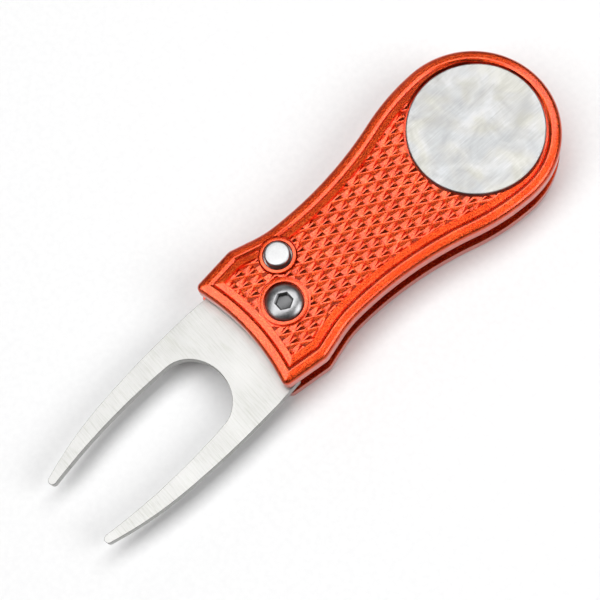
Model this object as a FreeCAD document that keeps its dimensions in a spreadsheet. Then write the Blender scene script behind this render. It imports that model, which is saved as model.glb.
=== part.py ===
import FreeCAD, Part
import math
import os
import re

import Sketcher

# Folding divot repair tool, lying open on its back.
# Frame: +Y towards the round head, +Z up out of the front face, Z = 0 on the back face.
# The origin is the middle of the open tool's bounding box, at its bottom. Millimetres.

SIZES = {
    # handle outline
    "head_radius": 15.95,
    "head_y": 40.45,
    "waist_half": 11.05,
    "waist_y": 7.0,
    "waist_radius": 73.0,
    "blend_y": 3.0,
    "blend_radius": 20.0,
    "shoulder_x": 13.2,
    "shoulder_y": -6.0,
    "shoulder_round": 2.5,
    "corner_x": 12.2,
    "corner_y": -15.0,
    "corner_round": 1.1,
    "foot_y": -13.15,
    # handle section
    "handle_height": 11.0,
    "scale_thickness": 3.5,
    "back_face": 0.0,
    "edge_round": 1.0,
    "groove_inset": 2.05,
    "groove_width": 0.3,
    "groove_depth": 0.35,
    "field_inset": 3.0,
    "field_depth": 0.6,
    "collar_drop": 0.15,
    # pivot
    "pivot_x": 0.7,
    "pivot_y": -4.9,
    "screw_head_radius": 3.42,
    "screw_head_height": 1.9,
    "screw_seat_depth": 1.7,
    "screw_shank_radius": 1.95,
    "screw_thread_radius": 1.6,
    "hex_flats": 2.6,
    "hex_depth": 1.2,
    "seat_radius": 3.6,
    "seat_collar_radius": 4.3,
    "seat_moat_radius": 4.65,
    "shank_hole_radius": 2.1,
    "barrel_radius": 2.98,
    "barrel_bore_radius": 1.65,
    "barrel_hole_radius": 3.04,
    "barrel_flange_radius": 3.9,
    "barrel_flange_height": 1.2,
    "flange_seat_radius": 4.0,
    "washer_radius": 3.95,
    "washer_gap": 0.04,
    # fork
    "fork_thickness": 2.0,
    "fork_rest_angle": 3.44,
    "fork_shift": -0.36,
    "fork_root_half": 11.35,
    "fork_root_y": -7.6,
    "fork_cheek_half": 11.72,
    "fork_cheek_y": -13.5,
    "fork_half": 11.76,
    "fork_taper_y": -19.5,
    "fork_upper_half": 11.6,
    "fork_upper_y": -27.0,
    "fork_knee_half": 11.12,
    "fork_knee_y": -34.5,
    "fork_lower_half": 9.95,
    "fork_lower_y": -43.0,
    "tip_outer": 8.1,
    "tip_inner": 6.5,
    "tip_y": -50.33,
    "slot_half": 7.45,
    "slot_crown": 6.5,
    "slot_y": -22.9,
    "slot_mid_half": 7.8,
    "slot_mid_y": -32.0,
    "tang_radius": 6.4,
    "notch_radius": 2.95,
    "swing_angle": 176.56,
    # lock button
    "button_x": -6.45,
    "button_y": -0.15,
    "button_radius": 2.3,
    "button_proud": 0.9,
    "button_chamfer": 0.3,
    "button_hole_radius": 2.6,
    "button_collar_radius": 3.3,
    "button_moat_radius": 3.6,
    "flange_radius": 2.85,
    "flange_thickness": 0.55,
    "flange_pocket_radius": 3.0,
    "flange_pocket_depth": 1.4,
    "plunger_radius": 1.9,
    "plunger_collar_radius": 2.9,
    "plunger_collar_bottom": 2.75,
    "plunger_collar_top": 4.3,
    "plunger_top": 9.2,
    "plunger_bore_radius": 1.4,
    "plunger_bore_top": 5.0,
    "plunger_pocket_radius": 3.1,
    "plunger_pocket_floor": 1.3,
    "button_spring_radius": 1.0,
    "button_spring_wire": 0.35,
    "button_spring_pitch": 0.8,
    # opening spring
    "spring_radius": 4.75,
    "spring_wire": 0.8,
    "spring_bottom": 2.55,
    "spring_pitch": 1.25,
    "spring_pocket_inner": 4.1,
    "spring_pocket_outer": 5.4,
    "spring_pocket_floor": 2.1,
    "spring_leg_length": 2.3,
    "spring_slot_width": 1.1,
    "spring_pin_radius": 0.6,
    "spring_pin_reach": 6.0,
    "spring_pin_angle": -60.0,
    "spring_pin_drop": 0.85,
    # stops
    "stop_radius": 1.0,
    "stop_depth": 1.5,
    "open_stop_x": -8.29,
    "open_stop_y": -12.0,
    "closed_stop_x": -11.09,
    "closed_stop_y": 30.0,
    # ball marker
    "marker_radius": 12.5,
    "marker_x": 0.0,
    "marker_y": 41.4,
    "marker_thickness": 1.8,
    "marker_edge": 0.2,
    "marker_seat_radius": 12.9,
    "marker_seat_depth": 2.0,
    "magnet_radius": 4.0,
    "magnet_thickness": 1.15,
    "magnet_pocket_radius": 4.1,
    "magnet_pocket_depth": 1.2,
    # head spacer and its screws
    "spacer_outer": 14.8,
    "spacer_inner": 10.3,
    "spacer_start": 48.0,
    "spacer_end": 200.0,
    "screw_circle": 11.5,
    "screw_radius": 0.95,
    "screw_hole_radius": 1.05,
    "screw_cap_radius": 1.8,
    "screw_cap_height": 1.1,
    "screw_cap_seat": 1.3,
    "screw_seat_radius": 2.0,
    "screw_reach": 1.1,
    "cross_width": 0.5,
    "cross_length": 2.0,
    "cross_depth": 0.6,
}
HEAD_SCREW_ANGLES = (58.0, 125.0, 190.0)
COIL_GAP = 0.02
# turns the opening spring's seam off its outer side, where the legs join
SEAM_TURN = 90.0

doc = FreeCAD.newDocument("divot_tool")
sheet = doc.addObject("Spreadsheet::Sheet", "Sizes")
for row, (alias, number) in enumerate(SIZES.items(), start=1):
    sheet.set(f"A{row}", alias)
    sheet.set(f"B{row}", str(number))
    sheet.setAlias(f"B{row}", alias)
doc.recompute()

parts = []


# ---------------------------------------------------------------- helpers

def cell(alias):
    """A driving size, read back from the sheet."""
    return float(getattr(sheet, alias))


def value(expression):
    """What an expression on the sheet's cells comes to."""
    return float(sheet.evalExpression(expression))


def point(x, y, z=0.0):
    return FreeCAD.Vector(x, y, z)


def polar(radius, degrees):
    angle = math.radians(degrees)
    return point(radius * math.cos(angle), radius * math.sin(angle))


def new_body(name):
    body = doc.addObject("PartDesign::Body", name)
    body.Label = name
    parts.append(body)
    return body


def place(body, x, y, turn=None):
    """Bind a body's place, and its turn about Z, to the sheet."""
    body.setExpression("Placement.Base.x", x)
    body.setExpression("Placement.Base.y", y)
    if turn:
        body.setExpression("Placement.Rotation.Angle", turn)


def new_sketch(body, role="XY_Plane", height=None):
    """A sketch on one of the body's own origin planes, lifted to a height."""
    plane = next(item for item in body.Origin.OriginFeatures if item.Role == role)
    sketch = body.newObject("Sketcher::SketchObject", body.Name + "_sketch")
    sketch.AttachmentSupport = [(plane, "")]
    sketch.MapMode = "FlatFace"
    if height:
        sketch.setExpression("AttachmentOffset.Base.z", height)
    return sketch


def pin_point(sketch, geometry, vertex, x, y):
    """Hold one point of a sketch at a place given by two expressions."""
    for kind, expression in (("DistanceX", x), ("DistanceY", y)):
        limit = Sketcher.Constraint(kind, -1, 1, geometry, vertex, value(expression))
        index = sketch.addConstraint(limit)
        sketch.setExpression(f"Constraints[{index}]", expression)


def add_circle(sketch, x, y, radius):
    circle = Part.Circle(point(value(x), value(y)), point(0, 0, 1), value(radius))
    index = sketch.addGeometry(circle)
    limit = sketch.addConstraint(Sketcher.Constraint("Radius", index, value(radius)))
    sketch.setExpression(f"Constraints[{limit}]", radius)
    pin_point(sketch, index, 3, x, y)


def add_polygon(sketch, corners):
    """A closed outline whose corners are pairs of expressions."""
    places = [point(value(x), value(y)) for x, y in corners]
    first = sketch.GeometryCount
    count = len(corners)
    for i in range(count):
        sketch.addGeometry(Part.LineSegment(places[i], places[(i + 1) % count]))
    for i in range(count):
        following = first + (i + 1) % count
        sketch.addConstraint(Sketcher.Constraint("Coincident", first + i, 2, following, 1))
        pin_point(sketch, first + i, 1, *corners[i])


def add_wire(sketch, wire):
    """Lines and arcs of a planar wire, as sketch geometry."""
    for edge in wire.Edges:
        first, last = edge.ParameterRange
        if isinstance(edge.Curve, Part.Circle):
            sketch.addGeometry(Part.ArcOfCircle(edge.Curve, first, last))
        elif isinstance(edge.Curve, Part.Ellipse):
            sketch.addGeometry(Part.ArcOfEllipse(edge.Curve, first, last))
        else:
            sketch.addGeometry(Part.LineSegment(edge.valueAt(first), edge.valueAt(last)))


def pad(body, sketch, length, downward=False):
    feature = body.newObject("PartDesign::Pad", body.Name + "_pad")
    feature.Profile = sketch
    feature.setExpression("Length", length)
    feature.Reversed = downward
    doc.recompute()
    return feature


def pocket(body, sketch, length, upward=False):
    """A pocket, cut down unless told to go up, which has to take material away."""
    before = body.Shape.Volume
    feature = body.newObject("PartDesign::Pocket", body.Name + "_pocket")
    feature.Profile = sketch
    feature.setExpression("Length", length)
    feature.Reversed = upward
    doc.recompute()
    if not body.Shape.Volume < before:
        raise RuntimeError("a pocket of " + body.Name + " cuts nothing")
    return feature


def round_edge(body, height, radius):
    """Fillet the edges of the flat face at a height."""
    base = body.Tip
    names = [
        f"Face{i}" for i, face in enumerate(base.Shape.Faces, start=1)
        if isinstance(face.Surface, Part.Plane)
        and abs(face.BoundBox.ZMin - height) < 1e-4 and abs(face.BoundBox.ZMax - height) < 1e-4
    ]
    feature = body.newObject("PartDesign::Fillet", body.Name + "_edge")
    feature.Base = (base, names)
    feature.setExpression("Radius", radius)
    doc.recompute()
    return feature


def turned(name, profile, x, y):
    """A body of revolution about its own Z axis, from (radius, height) expressions."""
    body = new_body(name)
    sketch = new_sketch(body, "XZ_Plane")
    add_polygon(sketch, profile)
    feature = body.newObject("PartDesign::Revolution", name + "_turn")
    feature.Profile = sketch
    feature.ReferenceAxis = (sketch, ["V_Axis"])
    feature.Angle = 360
    place(body, x, y)
    doc.recompute()
    return body


# ---------------------------------------------------------------- outlines

def tangent_point(outside, centre, radius):
    """Where a line from an outside point touches a circle, on its -X side."""
    gap = outside - centre
    base = math.atan2(gap.y, gap.x)
    spread = math.acos(radius / gap.Length)
    touches = [
        centre + point(radius * math.cos(base + side), radius * math.sin(base + side))
        for side in (spread, -spread)
    ]
    return min(touches, key=lambda touch: touch.x)


def rounded_corner(before, corner, after, radius):
    """Start, middle and end of the arc that rounds a corner."""
    back = (before - corner).normalize()
    ahead = (after - corner).normalize()
    half = back.getAngle(ahead) / 2
    reach = radius / math.tan(half)
    bisector = (back + ahead).normalize()
    centre = corner + bisector * (radius / math.sin(half))
    return corner + back * reach, centre - bisector * radius, corner + ahead * reach


def handle_half():
    """Right half of the handle outline, foot to head, as lines and three-point arcs."""
    head_side = point(cell("head_radius"), cell("head_y"))
    waist_centre = point(cell("waist_half") + cell("waist_radius"), cell("waist_y"))
    waist_radius = cell("waist_radius")

    # the flank arc leaves the head upright and meets the waist arc tangentially
    run = waist_centre.x - cell("head_radius")
    rise = cell("head_y") - cell("waist_y")
    flank_radius = (run ** 2 + rise ** 2 - waist_radius ** 2) / (2 * (waist_radius - run))
    flank_centre = point(cell("head_radius") - flank_radius, cell("head_y"))
    to_waist = (waist_centre - flank_centre).normalize()
    flank_end = flank_centre + to_waist * flank_radius
    flank_turn = math.degrees(math.atan2(to_waist.y, to_waist.x))
    flank_middle = flank_centre + polar(flank_radius, flank_turn / 2)

    # the waist arc hands over to a tighter one, which runs straight to the shoulder
    drop = cell("blend_y") - cell("waist_y")
    reach = math.sqrt(waist_radius ** 2 - drop ** 2)
    blend_start = point(waist_centre.x - reach, cell("blend_y"))
    waist_middle = point(cell("waist_half"), cell("waist_y"))
    blend_centre = blend_start + (waist_centre - blend_start).normalize() * cell("blend_radius")
    shoulder = point(cell("shoulder_x"), cell("shoulder_y"))
    blend_end = tangent_point(shoulder, blend_centre, cell("blend_radius"))
    outward = ((blend_start + blend_end) * 0.5 - blend_centre).normalize()
    blend_middle = blend_centre + outward * cell("blend_radius")

    # the hollow foot is one shallow arc
    corner = point(cell("corner_x"), cell("corner_y"))
    sag = cell("foot_y") - cell("corner_y")
    foot_radius = (cell("corner_x") ** 2 + sag ** 2) / (2 * sag)
    foot_centre = point(0, cell("foot_y") - foot_radius)
    along_foot = point(-(corner.y - foot_centre.y), corner.x)
    shoulder_arc = rounded_corner(blend_end, shoulder, corner, cell("shoulder_round"))
    corner_arc = rounded_corner(shoulder, corner, corner + along_foot, cell("corner_round"))

    return corner_arc[2], [
        corner_arc[::-1],
        (corner_arc[0], shoulder_arc[2]),
        shoulder_arc[::-1],
        (shoulder_arc[0], blend_end),
        (blend_end, blend_middle, blend_start),
        (blend_start, waist_middle, flank_end),
        (flank_end, flank_middle, head_side),
    ]


def mirrored(places):
    return [point(-place_.x, place_.y) for place_ in reversed(places)]


def edge_through(places):
    if len(places) == 2:
        return Part.LineSegment(*places).toShape()
    return Part.Arc(*places).toShape()


def handle_outline():
    foot_end, right = handle_half()
    left = [mirrored(places) for places in reversed(right)]
    crown = point(0, cell("head_y") + cell("head_radius"))
    head = (right[-1][-1], crown, left[0][0])
    foot = (left[-1][-1], point(0, cell("foot_y")), foot_end)
    return Part.Wire([edge_through(places) for places in right + [head] + left + [foot]])


def inset(wire, distance):
    """The outline moved inwards by a distance."""
    return wire.makeOffset2D(-distance).Wires[0]


OUTLINE = handle_outline()


# ---------------------------------------------------------------- handle scales

def head_screw_spots():
    """Places of the three head screws, as expressions."""
    return [
        (f"screw_circle * cos({angle} deg)", f"head_y + screw_circle * sin({angle} deg)")
        for angle in HEAD_SCREW_ANGLES
    ]


def on_sheet(expression):
    """Put the sheet's name before each alias in an expression."""
    def named(word):
        return "Sizes." + word.group() if word.group() in SIZES else word.group()
    return re.sub("[a-z_]+", named, expression)


def holes(body, spots, radius, height, depth, upward=False):
    """Round holes of one size, cut from a height."""
    sketch = new_sketch(body, height=on_sheet(height))
    for x, y in spots:
        add_circle(sketch, on_sheet(x), on_sheet(y), on_sheet(radius))
    return pocket(body, sketch, on_sheet(depth), upward)


def ring(body, x, y, outer, inner, height, length, downward=False):
    """A round collar, grown from a height."""
    sketch = new_sketch(body, height=on_sheet(height))
    add_circle(sketch, on_sheet(x), on_sheet(y), on_sheet(outer))
    add_circle(sketch, on_sheet(x), on_sheet(y), on_sheet(inner))
    return pad(body, sketch, on_sheet(length), downward)


PIVOT = ("pivot_x", "pivot_y")
BUTTON = ("button_x", "button_y")
STOPS = [("open_stop_x", "open_stop_y"), ("closed_stop_x", "closed_stop_y")]
GAP_TOP = "handle_height - scale_thickness"
FIELD_TOP = "handle_height - field_depth"


def scale_blank(name, base, face, upward):
    """A handle half: outline, rounded edge, perimeter groove and sunk field."""
    body = new_body(name)
    sketch = new_sketch(body, height=on_sheet(base))
    add_wire(sketch, OUTLINE)
    pad(body, sketch, on_sheet("scale_thickness"))
    round_edge(body, value(on_sheet(face)), on_sheet("edge_round"))
    sketch = new_sketch(body, height=on_sheet(face))
    add_wire(sketch, inset(OUTLINE, cell("groove_inset")))
    add_wire(sketch, inset(OUTLINE, cell("groove_inset") + cell("groove_width")))
    pocket(body, sketch, on_sheet("groove_depth"), upward)
    sketch = new_sketch(body, height=on_sheet(face))
    add_wire(sketch, inset(OUTLINE, cell("field_inset")))
    pocket(body, sketch, on_sheet("field_depth"), upward)
    return body


def front_scale():
    top = "handle_height"
    body = scale_blank("front_scale", GAP_TOP, top, False)
    holes(body, [PIVOT], "seat_moat_radius", top, "field_depth")
    holes(body, [BUTTON], "button_moat_radius", top, "field_depth")
    ring(body, *PIVOT, "seat_collar_radius", "seat_radius", FIELD_TOP, "field_depth - collar_drop")
    ring(body, *BUTTON, "button_collar_radius", "button_hole_radius", FIELD_TOP,
         "field_depth - collar_drop")
    holes(body, [PIVOT], "seat_radius", top, "screw_seat_depth")
    holes(body, [PIVOT], "shank_hole_radius", top, "scale_thickness")
    holes(body, [BUTTON], "button_hole_radius", top, "scale_thickness")
    holes(body, [BUTTON], "flange_pocket_radius", GAP_TOP, "flange_pocket_depth", True)
    holes(body, [("marker_x", "marker_y")], "marker_seat_radius", top, "marker_seat_depth")
    holes(body, [("marker_x", "marker_y")], "magnet_pocket_radius", "handle_height - marker_seat_depth",
          "magnet_pocket_depth")
    holes(body, head_screw_spots(), "screw_hole_radius", GAP_TOP, "screw_reach + 0.1", True)
    holes(body, STOPS, "stop_radius", GAP_TOP, "stop_depth", True)
    return body


def back_scale():
    body = scale_blank("back_scale", "back_face", "back_face", True)
    holes(body, [PIVOT], "seat_moat_radius", "back_face", "field_depth", True)
    ring(body, *PIVOT, "seat_moat_radius - 0.1", "flange_seat_radius", "collar_drop",
         "field_depth - collar_drop")
    holes(body, [PIVOT], "flange_seat_radius", "back_face", "barrel_flange_height + 0.25",
          True)
    holes(body, [PIVOT], "barrel_hole_radius", "scale_thickness", "scale_thickness")
    holes(body, head_screw_spots(), "screw_seat_radius", "back_face", "screw_cap_seat",
          True)
    holes(body, head_screw_spots(), "screw_hole_radius", "scale_thickness", "scale_thickness")
    holes(body, STOPS, "stop_radius", "scale_thickness", "stop_depth")
    holes(body, [BUTTON], "plunger_pocket_radius", "scale_thickness",
          "scale_thickness - plunger_pocket_floor")

    sketch = new_sketch(body, height=on_sheet("scale_thickness"))
    for radius in ("spring_pocket_outer", "spring_pocket_inner"):
        add_circle(sketch, *[on_sheet(axis) for axis in PIVOT], on_sheet(radius))
    pocket(body, sketch, on_sheet("scale_thickness - spring_pocket_floor"))

    # a slot takes the opening spring's fixed leg
    sketch = new_sketch(body, height=on_sheet("scale_thickness"))
    left = "pivot_x - spring_slot_width / 2"
    right = "pivot_x + spring_slot_width / 2"
    low = "pivot_y - spring_radius - spring_leg_length - 0.2"
    high = "pivot_y - spring_radius"
    corners = [(left, low), (right, low), (right, high), (left, high)]
    add_polygon(sketch, [(on_sheet(x), on_sheet(y)) for x, y in corners])
    pocket(body, sketch, on_sheet("scale_thickness - spring_pocket_floor"))
    return body


# ---------------------------------------------------------------- fork

def fork_outline():
    """The fork about its pivot, tines towards -Y; the plate's centre line lies a little off the pivot."""
    root = point(cell("fork_root_half"), cell("fork_root_y"))
    cheek = point(cell("fork_cheek_half"), cell("fork_cheek_y"))
    side = point(cell("fork_half"), cell("fork_taper_y"))
    upper = point(cell("fork_upper_half"), cell("fork_upper_y"))
    knee = point(cell("fork_knee_half"), cell("fork_knee_y"))
    lower = point(cell("fork_lower_half"), cell("fork_lower_y"))
    outer = point(cell("tip_outer"), cell("tip_y"))
    inner = point(cell("tip_inner"), cell("tip_y"))
    tip = point((outer.x + inner.x) / 2, cell("tip_y") - (outer.x - inner.x) / 2)
    slot_side = point(cell("slot_half"), cell("slot_y"))
    slot_middle = point(cell("slot_mid_half"), cell("slot_mid_y"))
    tang_x = math.sqrt(cell("tang_radius") ** 2 - (0.8 * cell("tang_radius")) ** 2)
    neck = point(tang_x, -0.8 * cell("tang_radius"))
    shelf = point(tang_x + 1.0, root.y)
    shift = point(cell("fork_shift"), 0)
    right = [
        (shelf, root),
        (root, cheek),
        (cheek, side),
        (side, upper, knee),
        (knee, lower, outer),
        (outer, tip, inner),
        (inner, slot_middle, slot_side),
    ]
    left = [mirrored(places) for places in reversed(right)]
    edges = [edge_through([place_ + shift for place_ in places]) for places in right + left]
    crown = Part.Ellipse(point(0, slot_side.y) + shift, cell("slot_half"), cell("slot_crown"))
    edges.append(Part.ArcOfEllipse(crown, 0, math.pi).toShape())
    shelf_left, neck_left = mirrored([neck, shelf])
    tang = [
        (neck, shelf + shift),
        (shelf_left + shift, neck_left),
        (neck_left, point(0, cell("tang_radius")), neck),
    ]
    edges += [edge_through(places) for places in tang]
    return Part.Wire(Part.__sortEdges__(edges))


def fork():
    body = new_body("fork")
    bottom = "(handle_height - fork_thickness) / 2"
    sketch = new_sketch(body, height=on_sheet(bottom))
    add_wire(sketch, fork_outline())
    pad(body, sketch, on_sheet("fork_thickness"))

    # the lock's plunger stands in one notch when open and in the other when closed
    top = "(handle_height + fork_thickness) / 2"
    reach = point(cell("button_x") - cell("pivot_x"), cell("button_y") - cell("pivot_y"))
    bearing = math.degrees(math.atan2(reach.y, reach.x)) - cell("fork_rest_angle")
    sketch = new_sketch(body, height=on_sheet(top))
    for angle in (bearing, bearing - cell("swing_angle")):
        spot = polar(reach.Length, angle)
        add_circle(sketch, str(spot.x), str(spot.y), on_sheet("notch_radius"))
    pocket(body, sketch, on_sheet("fork_thickness"))

    holes(body, [("0", "0")], "barrel_hole_radius", top, "fork_thickness")
    spot = (
        "spring_pin_reach * cos(spring_pin_angle * 1 deg)",
        "spring_pin_reach * sin(spring_pin_angle * 1 deg)",
    )
    holes(body, [spot], "spring_pin_radius", top, "fork_thickness")
    place(body, on_sheet("pivot_x"), on_sheet("pivot_y"), on_sheet("fork_rest_angle"))
    return body


def spring_pin():
    """Short pin pressed into the fork, which the opening spring pushes on."""
    body = new_body("spring_pin")
    sketch = new_sketch(body, height=on_sheet("(handle_height + fork_thickness) / 2 - 0.1"))
    add_circle(
        sketch,
        on_sheet("spring_pin_reach * cos(spring_pin_angle * 1 deg)"),
        on_sheet("spring_pin_reach * sin(spring_pin_angle * 1 deg)"),
        on_sheet("spring_pin_radius"),
    )
    pad(body, sketch, on_sheet("fork_thickness - 0.1 + spring_pin_drop"), downward=True)
    place(body, on_sheet("pivot_x"), on_sheet("pivot_y"), on_sheet("fork_rest_angle"))
    return body


# ---------------------------------------------------------------- pivot

def at_pivot(name, profile):
    corners = [(on_sheet(radius), on_sheet(height)) for radius, height in profile]
    return turned(name, corners, on_sheet("pivot_x"), on_sheet("pivot_y"))


def pivot_screw():
    """Button-head screw with a hexagon socket."""
    seat = "handle_height - screw_seat_depth"
    crown = f"{seat} + screw_head_height"
    profile = [
        ("0", "scale_thickness / 2 + 0.5"),
        ("screw_thread_radius", "scale_thickness / 2 + 0.5"),
        ("screw_thread_radius", GAP_TOP),
        ("screw_shank_radius", GAP_TOP),
        ("screw_shank_radius", seat),
        ("screw_head_radius", seat),
        ("screw_head_radius", f"{seat} + screw_head_height * 0.3"),
        ("screw_head_radius", f"{seat} + screw_head_height * 0.5"),
        ("screw_head_radius * 0.93", f"{seat} + screw_head_height * 0.7"),
        ("screw_head_radius * 0.8", f"{seat} + screw_head_height * 0.87"),
        ("screw_head_radius * 0.6", crown),
        ("0", crown),
    ]
    body = at_pivot("pivot_screw", profile)
    sketch = new_sketch(body, height=on_sheet(crown))
    corner = "hex_flats / sqrt(3)"
    corners = [(f"{corner} * cos({60 * i} deg)", f"{corner} * sin({60 * i} deg)") for i in range(6)]
    add_polygon(sketch, [(on_sheet(x), on_sheet(y)) for x, y in corners])
    pocket(body, sketch, on_sheet("hex_depth"))
    return body


def pivot_barrel():
    """Flanged barrel nut on which the fork turns."""
    low = "collar_drop + 0.1"
    step = "collar_drop + 0.1 + barrel_flange_height"
    profile = [
        ("0", low),
        ("barrel_flange_radius - 0.3", low),
        ("barrel_flange_radius", "collar_drop + 0.4"),
        ("barrel_flange_radius", step),
        ("barrel_radius", step),
        ("barrel_radius", f"{GAP_TOP} - 0.05"),
        ("barrel_bore_radius", f"{GAP_TOP} - 0.05"),
        ("barrel_bore_radius", "scale_thickness / 2 + 0.3"),
        ("0", "scale_thickness / 2 + 0.3"),
    ]
    return at_pivot("pivot_barrel", profile)


def pivot_washer(name, low, high):
    profile = [
        ("barrel_hole_radius", low),
        ("washer_radius", low),
        ("washer_radius", high),
        ("barrel_hole_radius", high),
    ]
    return at_pivot(name, profile)


# ---------------------------------------------------------------- springs

def coil(radius, wire, pitch, turns, bottom, start=0.0, seam=0.0):
    """A round-wire coil about Z from a height up, starting at an angle, with the wire's seam turned by seam."""
    spine = Part.makeHelix(pitch, pitch * turns, radius)
    section = Part.Wire(Part.makeCircle(wire / 2, point(radius, 0, 0), point(0, 1, 0)))
    section.rotate(point(radius, 0, 0), point(0, 1, 0), seam)
    solid = Part.Wire(spine.Edges).makePipeShell([section], True, True)
    solid.rotate(point(0, 0, 0), point(0, 0, 1), start)
    solid.translate(point(0, 0, bottom))
    return solid


def leg(radius, reach, wire, angle, height):
    """A straight spring leg that runs outwards from the coil, and its bend."""
    start = polar(radius, angle) + point(0, 0, height)
    rod = Part.makeCylinder(wire / 2, reach, start, polar(1.0, angle))
    return [rod, Part.makeSphere(wire / 2, start)]


def spring_feature(name, shape, x, y):
    feature = doc.addObject("Part::Feature", name)
    feature.Label = name
    feature.Shape = shape
    feature.Placement = FreeCAD.Placement(point(x, y), FreeCAD.Rotation()).multiply(shape.Placement)
    parts.append(feature)
    return feature


def torsion_spring():
    """Opening spring: one leg in the back scale's slot, one behind the fork's pin."""
    wire = cell("spring_wire")
    radius = cell("spring_radius")
    offset = math.degrees((cell("spring_pin_radius") + wire / 2 + COIL_GAP) / cell("spring_pin_reach"))
    fixed = 270.0
    moving = cell("spring_pin_angle") + cell("fork_rest_angle") + offset
    turns = 1.0 + (moving + 360.0 - fixed) / 360.0
    bottom = cell("spring_bottom")
    top = bottom + cell("spring_pitch") * turns
    reach = cell("spring_leg_length")
    legs = leg(radius, reach, wire, fixed, bottom) + leg(radius, reach, wire, moving, top)
    shape = coil(radius, wire, cell("spring_pitch"), turns, bottom, fixed, SEAM_TURN).fuse(legs)
    return spring_feature("torsion_spring", shape.Solids[0], cell("pivot_x"), cell("pivot_y"))


def button_spring():
    wire = cell("button_spring_wire")
    bottom = cell("plunger_pocket_floor") + wire / 2 + COIL_GAP
    top = cell("plunger_bore_top") - wire / 2 - COIL_GAP
    turns = (top - bottom) / cell("button_spring_pitch")
    shape = coil(cell("button_spring_radius"), wire, cell("button_spring_pitch"), turns, bottom)
    return spring_feature("button_spring", shape, cell("button_x"), cell("button_y"))


# ---------------------------------------------------------------- lock

def at_button(name, profile):
    corners = [(on_sheet(radius), on_sheet(height)) for radius, height in profile]
    return turned(name, corners, on_sheet("button_x"), on_sheet("button_y"))


def lock_button():
    """Flanged push button; the flange keeps it under the front scale."""
    ceiling = f"{GAP_TOP} + flange_pocket_depth - 0.05"
    crown = "handle_height + button_proud"
    profile = [
        ("plunger_radius + 0.02", f"{ceiling} - flange_thickness"),
        ("flange_radius", f"{ceiling} - flange_thickness"),
        ("flange_radius", ceiling),
        ("button_radius", ceiling),
        ("button_radius", f"{crown} - button_chamfer"),
        ("button_radius - button_chamfer", crown),
        ("0", crown),
        ("0", "plunger_top + 0.02"),
        ("plunger_radius + 0.02", "plunger_top + 0.02"),
    ]
    return at_button("lock_button", profile)


def lock_plunger():
    """Stem and locking collar, hollow from below for its return spring."""
    profile = [
        ("plunger_bore_radius", "plunger_collar_bottom"),
        ("plunger_collar_radius", "plunger_collar_bottom"),
        ("plunger_collar_radius", "plunger_collar_top - 0.2"),
        ("plunger_collar_radius - 0.2", "plunger_collar_top"),
        ("plunger_radius", "plunger_collar_top"),
        ("plunger_radius", "plunger_top"),
        ("0", "plunger_top"),
        ("0", "plunger_bore_top"),
        ("plunger_bore_radius", "plunger_bore_top"),
    ]
    return at_button("lock_plunger", profile)


def stop_pin(name, x, y):
    profile = [
        ("0", "scale_thickness - stop_depth + 0.05"),
        ("stop_radius - 0.02", "scale_thickness - stop_depth + 0.05"),
        ("stop_radius - 0.02", f"{GAP_TOP} + stop_depth - 0.05"),
        ("0", f"{GAP_TOP} + stop_depth - 0.05"),
    ]
    corners = [(on_sheet(radius), on_sheet(height)) for radius, height in profile]
    return turned(name, corners, on_sheet(x), on_sheet(y))


# ---------------------------------------------------------------- head

def ball_marker():
    low = "handle_height - marker_seat_depth"
    high = f"{low} + marker_thickness"
    profile = [
        ("0", low),
        ("marker_radius - marker_edge", low),
        ("marker_radius", f"{low} + marker_edge"),
        ("marker_radius", f"{high} - marker_edge"),
        ("marker_radius - marker_edge", high),
        ("0", high),
    ]
    corners = [(on_sheet(radius), on_sheet(height)) for radius, height in profile]
    return turned("ball_marker", corners, on_sheet("marker_x"), on_sheet("marker_y"))


def marker_magnet():
    low = "handle_height - marker_seat_depth - magnet_pocket_depth + 0.02"
    profile = [
        ("0", low),
        ("magnet_radius", low),
        ("magnet_radius", f"{low} + magnet_thickness"),
        ("0", f"{low} + magnet_thickness"),
    ]
    corners = [(on_sheet(radius), on_sheet(height)) for radius, height in profile]
    return turned("marker_magnet", corners, on_sheet("marker_x"), on_sheet("marker_y"))


def head_spacer():
    """Crescent between the scales, clear of the fork's sweep."""
    centre = point(0, cell("head_y"))
    start = cell("spacer_start")
    end = cell("spacer_end")
    middle = (start + end) / 2
    outer, inner = [
        [centre + polar(cell(radius), angle) for angle in (start, middle, end)]
        for radius in ("spacer_outer", "spacer_inner")
    ]
    edges = [
        Part.Arc(*outer).toShape(),
        Part.LineSegment(outer[2], inner[2]).toShape(),
        Part.Arc(*reversed(inner)).toShape(),
        Part.LineSegment(inner[0], outer[0]).toShape(),
    ]
    body = new_body("head_spacer")
    sketch = new_sketch(body, height=on_sheet("scale_thickness"))
    add_wire(sketch, Part.Wire(edges))
    pad(body, sketch, on_sheet("handle_height - 2 * scale_thickness"))
    holes(body, head_screw_spots(), "screw_hole_radius", GAP_TOP, f"{GAP_TOP} - scale_thickness")
    return body


def head_screws():
    """Three identical screws that clamp back scale, spacer and front scale."""
    body = new_body("head_screws")
    seat = "screw_cap_seat"
    sketch = new_sketch(body, height=on_sheet(seat))
    for x, y in head_screw_spots():
        add_circle(sketch, on_sheet(x), on_sheet(y), on_sheet("screw_cap_radius"))
    pad(body, sketch, on_sheet("screw_cap_height"), downward=True)
    sketch = new_sketch(body, height=on_sheet(seat))
    for x, y in head_screw_spots():
        add_circle(sketch, on_sheet(x), on_sheet(y), on_sheet("screw_radius"))
    pad(body, sketch, on_sheet(f"{GAP_TOP} + screw_reach - {seat}"))
    sketch = new_sketch(body, height=on_sheet(f"{seat} - screw_cap_height"))
    for x, y in head_screw_spots():
        add_polygon(sketch, cross_corners(x, y))
    pocket(body, sketch, on_sheet("cross_depth"), upward=True)
    return body


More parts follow.
